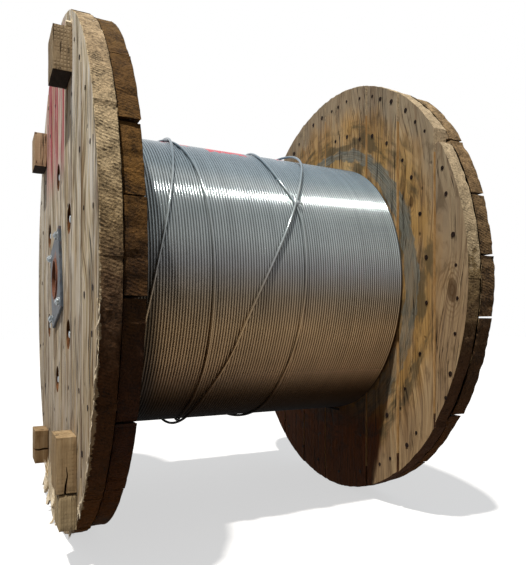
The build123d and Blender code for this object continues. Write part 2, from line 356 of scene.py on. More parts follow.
def offcut_finish():
    """Sawn offcuts, each from its own board, cross-hatched by the blade."""
    finish = Finish("sawn_offcut", 0.88)
    colour, dark, height, fine = timber(finish, True, (
        (0.14, "6e5c44"), (0.36, "a08b6a"), (0.6, "c4af8b"), (0.84, "dcc8a4")))
    own = finish.add("ValToRGB", {0: finish.tone}, stops=(
        (0.0, "917f66"), (0.25, "bb9e80"), (0.45, "664827"), (0.65, "927856"), (0.85, "a99674")))
    colour = finish.mix(0.68, colour, own)
    lines = []
    for place_on, pitch in ((finish.x, 0.0065), (finish.z, 0.0078)):
        wave = finish.add("Math", {0: place_on, 1: 2 * math.pi / pitch}, operation="MULTIPLY")
        wave = finish.add("Math", {0: wave}, operation="SINE")
        lines.append(finish.add("MapRange", {0: wave, 1: -0.2, 2: 1.0}))
    hatch = finish.add("Math", {0: lines[0], 1: lines[1]}, operation="MAXIMUM")
    hatch = finish.times(hatch, finish.lumps((30, 30, 30), 0.3, 0.6))
    hatch = finish.times(hatch, finish.add("MapRange", {0: finish.tone, 1: 0.1, 2: 0.2, 3: 1.0, 4: 0.25}))
    colour = finish.mix(finish.times(hatch, 0.34), colour, "4a3a26")
    height = finish.plus((height, 1.0), (hatch, -0.35))
    colour = finish.mix(finish.times(dark, 0.9), colour, "1a120a")
    return finish.done(colour, height, 0.002)


def plain_wood(name, low, high, depth=0.001):
    """Wood seen only in a gap, a bore or a torn edge: fibres in two tones."""
    finish = Finish(name, 0.9)
    value = finish.lumps((6, 5, 30), 0.3, 0.7, detail=4.0)
    return finish.done(finish.mix(value, linear(low), high), value, depth)


# Strand colour by height, painted reflection and shade: blue-grey sky reflection on top, a paler glow round the
# highlight band, brown ground reflection below the axis and black shade at the bottom.
STRAND_PAINTED_LIGHT_STOPS = (
    (-0.364, "080402"), (-0.345, "140c06"), (-0.30, "402d19"), (-0.24, "9c7c59"), (-0.12, "b0946f"),
    (-0.05, "8e806d"), (0.02, "969798"), (0.08, "a5acad"), (0.14, "9aa3a5"), (0.17, "a2abad"),
    (0.22, "b4bdc0"), (0.255, "92a1a9"), (0.30, "80919c"), (0.364, "708392"))


def strand_finish(name, mapped):
    """Hot-dip galvanised steel strand: matt silver wires in a helix, with painted blue-grey reflection above and
    painted brown reflection and shade below, where it is also rougher.
    """
    finish = Finish(name, 0.16, 1.0)
    if mapped:
        parts = finish.add("SeparateXYZ", {0: finish.add("UVMap", uv_map="strand")}, out=None)
        along, around = parts.outputs[0], parts.outputs[1]
    else:
        along = finish.add("Attribute", out="Fac", attribute_name="along")
        around = finish.add("Attribute", out="Fac", attribute_name="around")
    lay = finish.add("Math", {0: along, 1: 1 / WIRE_SPACING}, operation="MULTIPLY")
    lay = finish.plus((lay, 1.0), (around, 6.0 if mapped else 3.0))
    lay = finish.add("Math", {0: lay, 1: 0.0, 2: 1.0}, operation="WRAP")
    wire = finish.add("Math", {0: lay, 1: 0.5}, operation="SUBTRACT")
    wire = finish.add("Math", {0: wire}, operation="ABSOLUTE")
    wire = finish.add("MapRange", {0: wire, 1: 0.5, 2: 0.1}, interpolation_type="SMOOTHSTEP")
    # Painted reflection and shade, read from height.
    colour = finish.by_height(STRAND_PAINTED_LIGHT_STOPS)
    cloud = finish.lumps((160, 90, 90), 0.3, 0.7, spot=finish.drum)
    colour = finish.mix(finish.times(cloud, 0.25), colour, "b4bcc0", "MULTIPLY")
    # Painted shade: darker in the grooves between the lay's wires.
    shade = finish.add("MapRange", {0: wire, 3: 0.62, 4: 1.05})
    # Painted light: the turns grow brighter towards the far flange.
    shade = finish.times(shade, finish.add("MapRange", {0: finish.x, 1: -0.3, 2: 0.35, 3: 0.96, 4: 1.2}))
    if not mapped:
        # Painted shade: each turn darker on its flanks, in the grooves between turns.
        side = finish.add("Math", {0: around, 1: 0.5}, operation="SUBTRACT")
        side = finish.add("Math", {0: side}, operation="ABSOLUTE")
        crown = finish.step(side, 0.45, 0.2)
        shade = finish.times(shade, finish.add("MapRange", {0: crown, 3: 0.42, 4: 1.0}))
        worn = finish.lumps((7, 400, 400), 0.35, 0.65, spot=finish.drum, detail=1.0)
        shade = finish.times(shade, finish.add("MapRange", {0: worn, 3: 0.9, 4: 1.04}))
        # Painted shade: the near flange's shadow on the turns beside it, below the highlight band.
        corner = finish.times(finish.step(finish.plus((finish.x, 1.0), (finish.z, 0.1)), -0.27, -0.31),
                              finish.step(finish.z, 0.31, 0.22), 0.75)
        shade = finish.times(shade, finish.invert(corner))
    colour = finish.add("VectorMath", {0: colour, "Scale": shade}, operation="SCALE")
    clean = finish.step(finish.z, -0.31, -0.2)
    metal = finish.times(clean, 0.48)
    finish.tree.links.new(finish.add("MapRange", {0: clean, 3: 0.85, 4: 0.13}), finish.shader.inputs["Roughness"])
    if not mapped:
        daub = 0.0
        ragged = finish.lumps((9, 60, 60), 0.3, 0.7, spot=finish.drum)
        for left, right, front in ((-215, -197, 135), (-172, -139, 140), (-105, 7, 162), (98, 122, 138)):
            reach = finish.plus((ragged, 0.03), (1.0, -front * MM - 0.015))
            one = finish.times(finish.step(finish.x, left * MM, (left + 6) * MM),
                               finish.step(finish.x, (right + 2) * MM, (right - 14) * MM),
                               finish.step(finish.plus((finish.y, 1.0), (reach, -1.0)), 0.0, 0.004))
            daub = finish.add("Math", {0: daub, 1: one}, operation="MAXIMUM")
        daub = finish.times(daub, finish.step(finish.z, 0.28, 0.3))
        colour = finish.mix(daub, colour, "c0203c")
        metal = finish.times(metal, finish.invert(daub))
    finish.tree.links.new(metal, finish.shader.inputs["Metallic"])
    return finish.done(colour, wire, 0.0004, 0.06)


def steel_finish(name, code, rust, rough):
    """Rolled steel with a dull blue scale, rusting at its edge and towards the bore."""
    finish = Finish(name, rough, 0.35, 0.3)
    cloud = finish.lumps((24, 24, 24), detail=5.0, spot=finish.drum)
    colour = finish.mix(cloud, linear(code), "50575f")
    eaten = finish.plus((finish.radius, 1.0), (cloud, -0.022))
    colour = finish.mix(finish.times(finish.step(eaten, rust, rust - 0.012), 0.85), colour, "6a3a1c")
    freckle = finish.lumps((7, 7, 7), 0.56, 0.66, detail=4.0, spot=finish.drum)
    colour = finish.mix(finish.times(freckle, 0.7), colour, "4d3020")
    return finish.done(colour, cloud, 0.0006)


def bolt_finish():
    """Zinc plate, dulled and spotted with white rust."""
    finish = Finish("zinc_plated_bolt", 0.34, 1.0, 0.5)
    spots = finish.lumps((4, 4, 4), 0.4, 0.7, spot=finish.drum)
    return finish.done(finish.mix(spots, linear("a8aeb1"), "6a7073"), spots, 0.0003)


def iron_finish():
    """Old nail iron, black with rust."""
    finish = Finish("rusted_nail_iron", 0.75, 0.35)
    spots = finish.lumps((4, 4, 4), 0.4, 0.65, spot=finish.drum)
    return finish.done(finish.mix(spots, linear("0e0b09"), "35221a"), spots, 0.0005)


near_face_wood = near_face_finish()
# Each rim table runs from dark low down to pale on top: painted light and shade, with some soil soaked in low down.
near_rim_wood = rim_finish("sawn_edge_of_near_outer_boards", (
    (-0.60, "63401c"), (-0.50, "744a1e"), (-0.36, "4e3119"), (-0.16, "4e331d"), (-0.03, "68503a"),
    (0.10, "8a7555"), (0.25, "ae9a79"), (0.43, "a08a6c"), (0.60, "ad987a")), 0.0075)
near_inner_rim_wood = rim_finish("sawn_ends_of_near_inner_boards", (
    (-0.60, "3f270f"), (-0.46, "5a3512"), (-0.30, "371e10"), (-0.12, "3a2414"), (0.03, "48321b"),
    (0.20, "604420"), (0.40, "573f23"), (0.60, "664f2f")), 0.0, 1.0)
near_back_wood = far_face_finish("weathered_pine_near_back", False, True)
far_face_wood = far_face_finish("weathered_pine_far_face", True, True)
far_back_wood = far_face_finish("weathered_pine_far_back", False, False)
far_rim_wood = rim_finish("sawn_ends_of_far_inner_boards", (
    (-0.60, "59391f"), (-0.40, "4e3320"), (-0.16, "5a412c"), (-0.02, "7a6547"), (0.055, "84704f"),
    (0.075, "ab9878"), (0.45, "baa688"), (0.60, "bba888")), 0.0, 0.62, 0.12)
far_outer_rim_wood = rim_finish("sawn_ends_of_far_outer_boards", (
    (-0.60, "704a27"), (-0.40, "62401e"), (-0.22, "46301d"), (-0.05, "59442e"), (0.15, "6f593d"),
    (0.35, "7d6649"), (0.60, "a08a69")), 0.0, 1.0)
bored_wood = plain_wood("bored_pine", "241509", "7a4f2e")
dark_gap_wood = plain_wood("pine_in_a_dark_joint", "241509", "5a3d24")
fresh_gap_wood = plain_wood("pine_in_a_fresh_joint", "a67c48", "cfaa76")
# Painted shade: near-black wood for the top cleats' undersides.
painted_shade_wood = plain_wood("damp_black_underside", "0a0603", "2c1c10")
torn_wood = plain_wood("torn_pale_pine", "cdb892", "fbf0da", 0.002)
cleat_wood = offcut_finish()
strand_zinc = strand_finish("galvanised_strand", False)
tail_zinc = strand_finish("galvanised_tail_strand", True)
hub_steel = steel_finish("blue_grey_hub_plate", "2c333a", 0.058, 0.55)
bushing_steel = steel_finish("rusted_hub_pipe", "5a4a3e", 0.2, 0.7)
bolt_zinc = bolt_finish()
nail_iron = iron_finish()


# ---- making meshes ----
def make_piece(name, verts, faces, materials, slot, indices=None, smooth=False):
    mesh = bpy.data.meshes.new(name)
    mesh.from_pydata(verts, [], faces)
    for material in materials:
        mesh.materials.append(material)
    if indices is not None:
        mesh.polygons.foreach_set("material_index", indices)
    mesh.polygons.foreach_set("use_smooth", [smooth] * len(mesh.polygons))
    piece = bpy.data.objects.new(name, mesh)
    bpy.context.scene.collection.objects.link(piece)
    piece["wanted_slot"] = slot
    return piece


def tidy_normals(piece):
    work = bmesh.new()
    work.from_mesh(piece.data)
    bmesh.ops.remove_doubles(work, verts=work.verts, dist=1e-6)
    bmesh.ops.recalc_face_normals(work, faces=work.faces)
    work.to_mesh(piece.data)
    work.free()


def bake_modifiers(piece):
    """Turns the evaluated piece into its plain mesh and takes the modifiers off."""
    graph = bpy.context.evaluated_depsgraph_get()
    mesh = bpy.data.meshes.new_from_object(piece.evaluated_get(graph))
    piece.modifiers.clear()
    piece.data = mesh


def settle(piece, *nodes):
    """A finished piece rides on the drum and stands for its CAD nodes."""
    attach(piece, "root")
    del piece["wanted_slot"]
    if nodes:
        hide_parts(*nodes)


def wobble(x, y, z, size):
    """Smooth noise from -1 to 1, with lumps about this many millimetres across."""
    return noise.noise(Vector((x, y, z)) / size)


# ---- boards ----
BOLT_CIRCLE = 250.0
BOLT_PLACES = [(BOLT_CIRCLE * math.cos(math.radians(33 + 60 * k)),
                BOLT_CIRCLE * math.sin(math.radians(33 + 60 * k))) for k in range(6)]
ROW_SHARES = [0, 0.0015, 0.005, 0.012, 0.026]
EDGE_DEPTHS = [0, 1.5, 4, 8, 13, 19, 25, 31, 36, 38.8, 40]


def rod(x_from, x_to, y, z, radius, sides=48):
    """Vertices and faces of a closed bar along the axis."""
    ring = [(radius * math.cos(2 * math.pi * k / sides), radius * math.sin(2 * math.pi * k / sides))
            for k in range(sides)]
    verts = [place(x, y + a, z + b) for x in (x_from, x_to) for a, b in ring]
    faces = [(k, (k + 1) % sides, sides + (k + 1) % sides, sides + k) for k in range(sides)]
    faces += [tuple(range(sides))[::-1], tuple(range(sides, 2 * sides))]
    return verts, faces


def flange_bores(inner, outer, side):
    """The holes through one ply, as one mesh to cut with."""
    verts, faces = [], []
    cuts = [(inner, outer, 0, 0, 51.1, 64)]
    pocket_floor = side * (OUTER_FACE - 24)
    for y, z in BOLT_PLACES:
        if abs(outer) > 430:
            cuts.append((pocket_floor, side * (OUTER_FACE + 2), y, z, 33.0, 40))
            cuts.append((inner, pocket_floor + side * 0.5, y, z, 9.2, 16))
        else:
            cuts.append((inner, outer, y, z, 9.2, 16))
    for cut in cuts:
        ends = (cut[0] - side * 2 if cut[0] == inner else cut[0],
                cut[1] + side * 2 if cut[1] == outer else cut[1])
        v, f = rod(*sorted(ends), *cut[2:])
        faces += [tuple(n + len(verts) for n in face) for face in f]
        verts += v
    cutter = make_piece("bores", verts, faces, [bored_wood], None)
    tidy_normals(cutter)
    return cutter


def board(node, upright, outward, finishes, slot, seed):
    """One sawn board: crisp long edges, rough sawn ends on the rim, a little warp."""
    low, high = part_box(node)
    low, high = (low - DRUM_MIDDLE) / MM, (high - DRUM_MIDDLE) / MM
    across_low, across_high = (low.y, high.y) if upright else (low.z, high.z)
    along_high = high.z if upright else high.y
    nearest = 0 if across_low < 0 < across_high else min(abs(across_low), abs(across_high))
    reach = math.hypot(nearest, along_high)
    a_low = math.asin(max(-0.99994, across_low / reach))
    a_high = math.asin(min(0.99994, across_high / reach))
    columns = max(4, round((a_high - a_low) * reach / 7))
    middles = max(4, round(2 * along_high / 34))
    shares = ROW_SHARES + [0.05 + 0.9 * k / middles for k in range(middles + 1)]
    shares += [1 - s for s in reversed(ROW_SHARES)]
    rows = len(shares)
    near_face = outward < 0 and node.startswith("near_outer")

    def ragged(along, across):
        z = along if upright else across
        y = across if upright else along
        low_down = max(0.0, min(1.0, (-z - 120) / 160))
        return 0.5 + (2.6 * low_down if near_face and y < 250 else 0.8 * low_down)

    grid = {}
    for j in range(columns + 1):
        angle = a_low + (a_high - a_low) * j / columns
        v = reach * math.sin(angle)
        half = reach * math.cos(angle)
        ends = []
        for side in (-1, 1):
            chip = 0.8 * (1 + wobble(v, seed * 31, side * 50, 6))
            chip += (3.0 if upright else 7.0) * max(0, wobble(v, seed * 17, side * 90, 24))
            if not upright:
                chip += 6.0 * ((seed * 0.37 + side * 0.21) % 1)
            if node == "far_inner_board_1" and side > 0:
                chip += 26 * max(0, 1 - (across_high - v) / 22) ** 2
            ends.append(max(half - chip * min(1, half / 60), 1.0) * side)
        for i, share in enumerate(shares):
            grid[i, j] = (ends[0] + (ends[1] - ends[0]) * share, v)
    loop = [(0, j) for j in range(columns)] + [(i, columns) for i in range(rows - 1)]
    loop += [(rows - 1, j) for j in range(columns, 0, -1)] + [(i, 0) for i in range(rows - 1, 0, -1)]
    inward = []
    for k, spot in enumerate(loop):
        before, after = grid[loop[k - 1]], grid[loop[(k + 1) % len(loop)]]
        du, dv = after[0] - before[0], after[1] - before[1]
        size = math.hypot(du, dv) or 1
        inward.append((dv / size, -du / size))
    centre_u = sum(grid[s][0] for s in loop) / len(loop)
    area = sum(grid[loop[k - 1]][0] * grid[loop[k]][1] - grid[loop[k]][0] * grid[loop[k - 1]][1]
               for k in range(len(loop)))
    turn = 1 if area < 0 else -1
    face_x, back_x = (high.x, low.x) if outward > 0 else (low.x, high.x)
    verts, number = [], {}

    def point(u, v, x):
        verts.append(place(x, v, u) if upright else place(x, u, v))
        return len(verts) - 1

    def warp(u, v):
        return 0.5 * (1 + wobble(u, v, seed * 41, 160)) + 0.25 * (1 + wobble(u, v * 4, seed * 7, 60))

    for layer, depth in enumerate(EDGE_DEPTHS):
        for k, spot in enumerate(loop):
            u, v = grid[spot]
            on_end = spot[0] in (0, rows - 1)
            rough = 1.5 if on_end else 0.3
            inset = rough * (0.5 + 0.5 * wobble(u, v, depth * 1.6 + seed * 13, 8))
            inset += rough * 1.5 * max(0, wobble(u, v, depth + seed * 9, 24))
            inset += rough * 0.8 * max(0, wobble(u * 3, v * 3, depth * 0.5 + seed * 5, 60))
            if layer in (0, len(EDGE_DEPTHS) - 1):
                torn = ragged(u, v) if on_end else 0.5
                inset += 0.8 + torn * (1.2 + 1.2 * wobble(u * 1.5, v * 1.5, seed, 6))
                if layer == 0 and on_end and near_face:
                    inset += max(0, torn - 1) * 2.2 * max(0, wobble(u, v, seed * 3, 14))
            if on_end and layer >= len(EDGE_DEPTHS) - 3:
                inset += (0.5 + 4.5 * max(0, wobble(u, v, seed * 11, 34))) * (0.3, 0.7, 1.0)[layer - len(EDGE_DEPTHS) + 3]
            if on_end and spot[1] in (0, columns) and abs(v) < reach * 0.99:
                inset *= 0.4
            limit = 0.4 * math.hypot(u, 1) if abs(v) > reach * 0.99 else 30
            inset = min(inset, limit)
            x = face_x - outward * depth
            if layer == 0:
                x = face_x - outward * warp(u, v)
            elif layer == len(EDGE_DEPTHS) - 1:
                x = back_x
            number[layer, k] = point(u + inward[k][0] * inset * turn, v + inward[k][1] * inset * turn, x)
    on_loop = {spot: k for k, spot in enumerate(loop)}
    caps = []
    for layer, x_of in ((0, lambda u, v: face_x - outward * warp(u, v)),
                        (len(EDGE_DEPTHS) - 1, lambda u, v: back_x)):
        cap = {}
        for i in range(rows):
            for j in range(columns + 1):
                if (i, j) in on_loop:
                    cap[i, j] = number[layer, on_loop[i, j]]
                else:
                    u, v = grid[i, j]
                    cap[i, j] = point(u, v, x_of(u, v))
        caps.append(cap)
    faces, kinds = [], []
    for flip, cap in enumerate(caps):
        for i in range(rows - 1):
            for j in range(columns):
                quad = (cap[i, j], cap[i + 1, j], cap[i + 1, j + 1], cap[i, j + 1])
                faces.append(quad if flip else quad[::-1])
                kinds.append(0)
    for layer in range(len(EDGE_DEPTHS) - 1):
        for k, spot in enumerate(loop):
            after = (k + 1) % len(loop)
            faces.append((number[layer, k], number[layer, after],
                          number[layer + 1, after], number[layer + 1, k]))
            both_ends = loop[k][0] == loop[after][0] and loop[k][0] in (0, rows - 1)
            at_tip = abs(grid[loop[k]][1]) > reach * 0.999
            by_end = abs(grid[loop[k]][0]) > math.sqrt(max(reach ** 2 - grid[loop[k]][1] ** 2, 0)) - 60
            kinds.append(1 if both_ends or at_tip or by_end else 2)
    piece = make_piece(node + "_sawn", verts, faces, finishes, slot, kinds)
    tidy_normals(piece)
    return piece, (across_low, across_high, along_high)


def finish_boards():
    plies = (("near_outer", True, -1, (near_face_wood, near_rim_wood, dark_gap_wood), "near_flange_wood"),
             ("near_inner", False, 1, (near_back_wood, near_inner_rim_wood, dark_gap_wood), "near_flange_wood"),
             ("far_inner", True, -1, (far_face_wood, far_rim_wood, fresh_gap_wood), "far_flange_wood"),
             ("far_outer", False, 1, (far_back_wood, far_outer_rim_wood, dark_gap_wood), "far_flange_wood"))
    seed = 0
    for ply, upright, outward, finishes, slot in plies:
        side = -1 if ply.startswith("near") else 1
        inner, outer = (357, 397) if ply.endswith("inner") else (397, 437)
        cutter = flange_bores(side * inner, side * outer, side)
        names = sorted(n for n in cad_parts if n.startswith(ply + "_board_"))
        for name in names:
            seed += 1
            piece, (low, high, _) = board(name, upright, outward, finishes, slot, seed)
            spots = [(0, 0, 52)] + [(y, z, 34) for y, z in BOLT_PLACES]
            if any(low - r < (y if upright else z) < high + r for y, z, r in spots):
                cut = piece.modifiers.new("bores", "BOOLEAN")
                cut.operation = "DIFFERENCE"
                cut.solver = "EXACT"
                cut.material_mode = "TRANSFER"
                cut.object = cutter
                bake_modifiers(piece)
            tone = piece.data.attributes.new("tone", "FLOAT", "POINT")
            value = (seed * 0.61803) % 1
            tone.data.foreach_set("value", [value] * len(piece.data.vertices))
            settle(piece, name)
        bpy.data.objects.remove(cutter)


finish_boards()


# ---- winding ----
def wound_turns():
    """A Geometry Nodes tree: a strand's outer side swept round and round the barrel."""
    tree = bpy.data.node_groups.new("wound_turns", "GeometryNodeTree")
    sizes = (("Turns", "NodeSocketInt", 109), ("Radius", "NodeSocketFloat", 0.36),
             ("Length", "NodeSocketFloat", 0.7), ("Strand Radius", "NodeSocketFloat", 0.0032),
             ("Steps", "NodeSocketInt", 144), ("Section Steps", "NodeSocketInt", 6))
    for name, kind, value in sizes:
        tree.interface.new_socket(name, in_out="INPUT", socket_type=kind).default_value = value
    tree.interface.new_socket("Geometry", in_out="OUTPUT", socket_type="NodeSocketGeometry")
    given = add(tree, "NodeGroupInput", out=None).outputs
    spiral = add(tree, "GeometryNodeCurveSpiral", {
        "Resolution": given["Steps"], "Rotations": given["Turns"], "Start Radius": given["Radius"],
        "End Radius": given["Radius"], "Height": given["Length"], "Reverse": False})
    upright = add(tree, "GeometryNodeSetCurveNormal", {"Curve": spiral}, mode="Z_UP")
    run = add(tree, "GeometryNodeSplineParameter", out="Length")
    stored = add(tree, "GeometryNodeStoreNamedAttribute", {"Geometry": upright, "Name": "along", "Value": run},
                 data_type="FLOAT", domain="POINT")
    arc = add(tree, "GeometryNodeCurveArc", {
        "Resolution": given["Section Steps"], "Radius": given["Strand Radius"],
        "Start Angle": math.radians(84), "Sweep Angle": math.radians(192)})
    share = add(tree, "GeometryNodeSplineParameter", out="Factor")
    section = add(tree, "GeometryNodeStoreNamedAttribute", {"Geometry": arc, "Name": "around", "Value": share},
                  data_type="FLOAT", domain="POINT")
    sheet = add(tree, "GeometryNodeCurveToMesh", {"Curve": stored, "Profile Curve": section})
    smooth = add(tree, "GeometryNodeSetShadeSmooth", {"Geometry": sheet})
    turned = add(tree, "GeometryNodeTransform", {
        "Geometry": smooth, "Rotation": (0, math.radians(90), 0),
        "Translation": DRUM_MIDDLE - Vector((1, 0, 0)) * (WINDING_LENGTH / 2 - STRAND_RADIUS) * MM})
    real = add(tree, "GeometryNodeRealizeInstances", {"Geometry": turned})
    painted = add(tree, "GeometryNodeSetMaterial", {"Geometry": real, "Material": strand_zinc})
    add(tree, "NodeGroupOutput", {0: painted}, out=None)
    return tree


def set_inputs(modifier, tree, **values):
    """Sets a Geometry Nodes modifier's named inputs by their identifiers."""
    for item in tree.interface.items_tree:
        key = item.name.replace(" ", "_").lower()
        if item.item_type == "SOCKET" and item.in_out == "INPUT" and key in values:
            modifier[item.identifier] = values[key]


def winding():
    """The visible layer's turns, over a core with the wound layers' edges on its ends."""
    piece = make_piece("wound_strand_turns", [], [], [strand_zinc], "wound_strand")
    tree = wound_turns()
    turns = round(WINDING_LENGTH / TURN_PITCH) - 1
    modifier = piece.modifiers.new("turns", "NODES")
    modifier.node_group = tree
    set_inputs(modifier, tree, turns=turns, radius=(WINDING_RADIUS - STRAND_RADIUS) * MM,
               length=(WINDING_LENGTH - 2 * STRAND_RADIUS) * MM, strand_radius=STRAND_RADIUS * MM * 1.02,
               steps=144, section_steps=6)
    bake_modifiers(piece)
    core = winding_core()
    work = bmesh.new()
    work.from_mesh(piece.data)
    work.from_mesh(core.data)
    work.to_mesh(piece.data)
    work.free()
    bpy.data.objects.remove(core)
    settle(piece, "wire_winding")
    return piece


def winding_core():
    half = WINDING_LENGTH / 2
    layers = 10
    inner = 305.3
    outer = WINDING_RADIUS - 1.8
    profile = [(-half + 0.2, inner)]
    for k in range(layers):
        low = inner + (outer - inner) * k / layers
        high = inner + (outer - inner) * (k + 1) / layers
        profile += [(-half + 1.6, low + 0.01), (-half, (low + high) / 2)]
    profile += [(-half + 1.6, outer)]
    profile += [(-x, r) for x, r in reversed(profile)]
    sides = 96
    verts = [place(x, r * math.cos(2 * math.pi * k / sides), r * math.sin(2 * math.pi * k / sides))
             for x, r in profile for k in range(sides)]
    faces = []
    for a in range(len(profile)):
        b = (a + 1) % len(profile)
        faces += [(a * sides + k, a * sides + (k + 1) % sides, b * sides + (k + 1) % sides, b * sides + k)
                  for k in range(sides)]
    core = make_piece("winding_core", verts, faces, [strand_zinc], None)
    tidy_normals(core)
    return core


winding()

# ---- tail strand ----
TAIL_ROUTE = [
    (279, 344.5, 0), (250, 318, 0), (210, 262, 0), (170, 190, 0), (130, 122, 0), (90, 52, 0),
    (64, 29, 0), (50, 26, 0), (38, 40, 0), (30, 72, 0), (15, 69, 0), (0, 70, 0), (-20, 62, 0),
    (-49, 45, 0), (-65, 41, 0), (-110, -4, 0), (-150, -54, 0), (-200, -118, 0), (-250, -185, 0),
    (-274, -212, 0), (-291, -187, 0), (-306, -179, 0), (-322, -166, 0), (-345, -158, 0),
    (-396, -157, 0), (-427, -170, 0), (-470, -116, 0), (-500, -54, 7), (-540, 14, 0),
    (-575, 72, 0), (-600, 112, 7), (-630, 165, 10), (-653, 172, 9), (-670, 122, 5),
    (-683, 86, 7), (-689, 67, 7), (-699, 37, 7), (-718, -27, 0), (-736, -79, 0),
    (-751, -103, 0), (-768, -135, 0), (-781, -154, 3), (-796, -162, 10), (-815, -168, 6),
    (-860, -174, 0), (-900, -180, 0), (-961, -186, 7), (-985, -187, 4), (-1010, -189, 7),
    (-1025, -210, 5), (-1049, -236, 0), (-1074, -277, 0), (-1093, -300, 0), (-1120, -327, 0),
    (-1150, -349, 0)]
TAIL_STEP = 18.0


def tail_line():
    """The tail's line round the turns, read from a spline through its route."""
    first, last = TAIL_ROUTE[0][0], TAIL_ROUTE[-1][0]
    steps = round((first - last) / TAIL_STEP)
    middle = WINDING_RADIUS + STRAND_RADIUS + 0.3
    bulge = math.cos(math.radians((first - last) / steps / 2))
    curve = bpy.data.curves.new("tail_route", "CURVE")
    curve.dimensions = "3D"
    spline = curve.splines.new("NURBS")
    spline.points.add(steps)
    angles = [row[0] for row in TAIL_ROUTE][::-1]
    for k in range(steps + 1):
        angle = first + (last - first) * k / steps
        x = float(np.interp(angle, angles, [row[1] for row in TAIL_ROUTE][::-1]))
        lift = float(np.interp(angle, angles, [row[2] for row in TAIL_ROUTE][::-1]))
        radius = (middle + lift) / bulge
        spot = place(x, -radius * math.cos(math.radians(angle)), radius * math.sin(math.radians(angle)))
        spline.points[k].co = (*spot, 1)
    spline.order_u = 3
    spline.use_endpoint_u = True
    spline.resolution_u = 16
    holder = bpy.data.objects.new("tail_route", curve)
    mesh = bpy.data.meshes.new_from_object(holder)
    line = [vertex.co.copy() for vertex in mesh.vertices]
    bpy.data.objects.remove(holder)
    return line


def tube(name, line, radius, sides, finish, slot, lobes=0, twist=0.0):
    """A round strand along a line, with how far along and around it in its UV map."""
    middle = DRUM_MIDDLE
    verts, faces, spots = [], [], []
    run = 0.0
    for k, here in enumerate(line):
        ahead = (line[min(k + 1, len(line) - 1)] - line[max(k - 1, 0)]).normalized()
        if k:
            run += (here - line[k - 1]).length
        out = here - middle
        out.x = 0
        out = (out - ahead * out.dot(ahead)).normalized()
        side = ahead.cross(out)
        for n in range(sides):
            a = 2 * math.pi * n / sides + math.pi
            verts.append(here + (out * math.cos(a) + side * math.sin(a)) * radius)
        spots.append(run)
    for k in range(len(line) - 1):
        for n in range(sides):
            m = (n + 1) % sides
            faces.append((k * sides + n, k * sides + m, (k + 1) * sides + m, (k + 1) * sides + n))
    last = (len(line) - 1) * sides
    faces.append(tuple(range(sides)))
    faces.append(tuple(range(last, last + sides))[::-1])
    piece = make_piece(name, verts, faces, [finish], slot, smooth=True)
    uv = piece.data.uv_layers.new(name="strand")
    for k in range(len(line) - 1):
        for n in range(sides):
            face = piece.data.polygons[k * sides + n]
            for corner, (along, around) in zip(face.loop_indices, (
                    (spots[k], n), (spots[k], n + 1), (spots[k + 1], n + 1), (spots[k + 1], n))):
                uv.data[corner].uv = (along, around / sides)
    return piece


tail = tube("lashed_tail", tail_line(), STRAND_RADIUS * MM, 12, tail_zinc, "tail_strand")
tidy = bmesh.new()
tidy.from_mesh(tail.data)
bmesh.ops.recalc_face_normals(tidy, faces=tidy.faces)
tidy.to_mesh(tail.data)
tidy.free()
settle(tail, "tail_strand")


# ---- bolts and hub plates ----
PLATE_SIDE = 203.0
PLATE_THICK = 6.0
PLATE_TURN = math.radians(-14)
POCKET_FLOOR = OUTER_FACE - 24.0
HUB_BOLTS = [(-60, 99), (99, 60), (-99, -60), (60, -99)]


def ring_of(shape, size, sides):
    """One ring of a turned, six-sided or square section, as offsets from its middle."""
    spots = []
    for k in range(sides):
        a = 2 * math.pi * k / sides
        corner = {"round": 0, "hex": math.pi / 3, "square": math.pi / 2}[shape]
        r = size / 2
        if corner:
            r /= math.cos((a + corner / 2) % corner - corner / 2)
        if shape == "square":
            r = min(r, size / 2 * 1.33)
        spots.append((r * math.cos(a), r * math.sin(a)))
    return spots


def turned(name, stations, y, z, finish, slot, sides=24, turn=0.0):
    """A closed bar along the axis from (x, section, size across flats) stations."""
    verts, faces = [], []
    for x, shape, size in stations:
        for a, b in ring_of(shape, size, sides):
            verts.append(place(x, y + a * math.cos(turn) - b * math.sin(turn),
                               z + a * math.sin(turn) + b * math.cos(turn)))
    for n in range(len(stations) - 1):
        for k in range(sides):
            m = (k + 1) % sides
            faces.append((n * sides + k, n * sides + m, (n + 1) * sides + m, (n + 1) * sides + k))
    last = (len(stations) - 1) * sides
    faces += [tuple(range(sides))[::-1], tuple(range(last, last + sides))]
    piece = make_piece(name, verts, faces, [finish], slot)
    tidy_normals(piece)
    return piece


def nut_end(side):
    """Stations of a bolt's end in its pocket: square washer, chamfered nut and a threaded end."""
    floor = POCKET_FLOOR
    stations = [(floor, "round", 16), (floor, "square", 44.2), (floor + 0.4, "square", 45),
                (floor + 3.6, "square", 45), (floor + 4, "square", 44.2), (floor + 4, "round", 22.5),
                (floor + 5, "hex", 24), (floor + 15.6, "hex", 24), (floor + 17, "round", 22.5),
                (floor + 17, "round", 15)]
    stations += [(floor + 17.3 + 0.75 * k, "round", 16 if k % 2 else 14.2) for k in range(6)]
    stations += [(floor + 22, "round", 12)]
    return [(side * x, shape, size) for x, shape, size in stations]


for number, (y, z) in enumerate(BOLT_PLACES, 1):
    stations = nut_end(-1)[::-1] + nut_end(1)
    bolt = turned(f"tie_bolt_{number}_threaded", stations, y, z, bolt_zinc, "zinc_hardware",
                  turn=math.radians(17 * number))
    settle(bolt, f"tie_bolt_{number}")


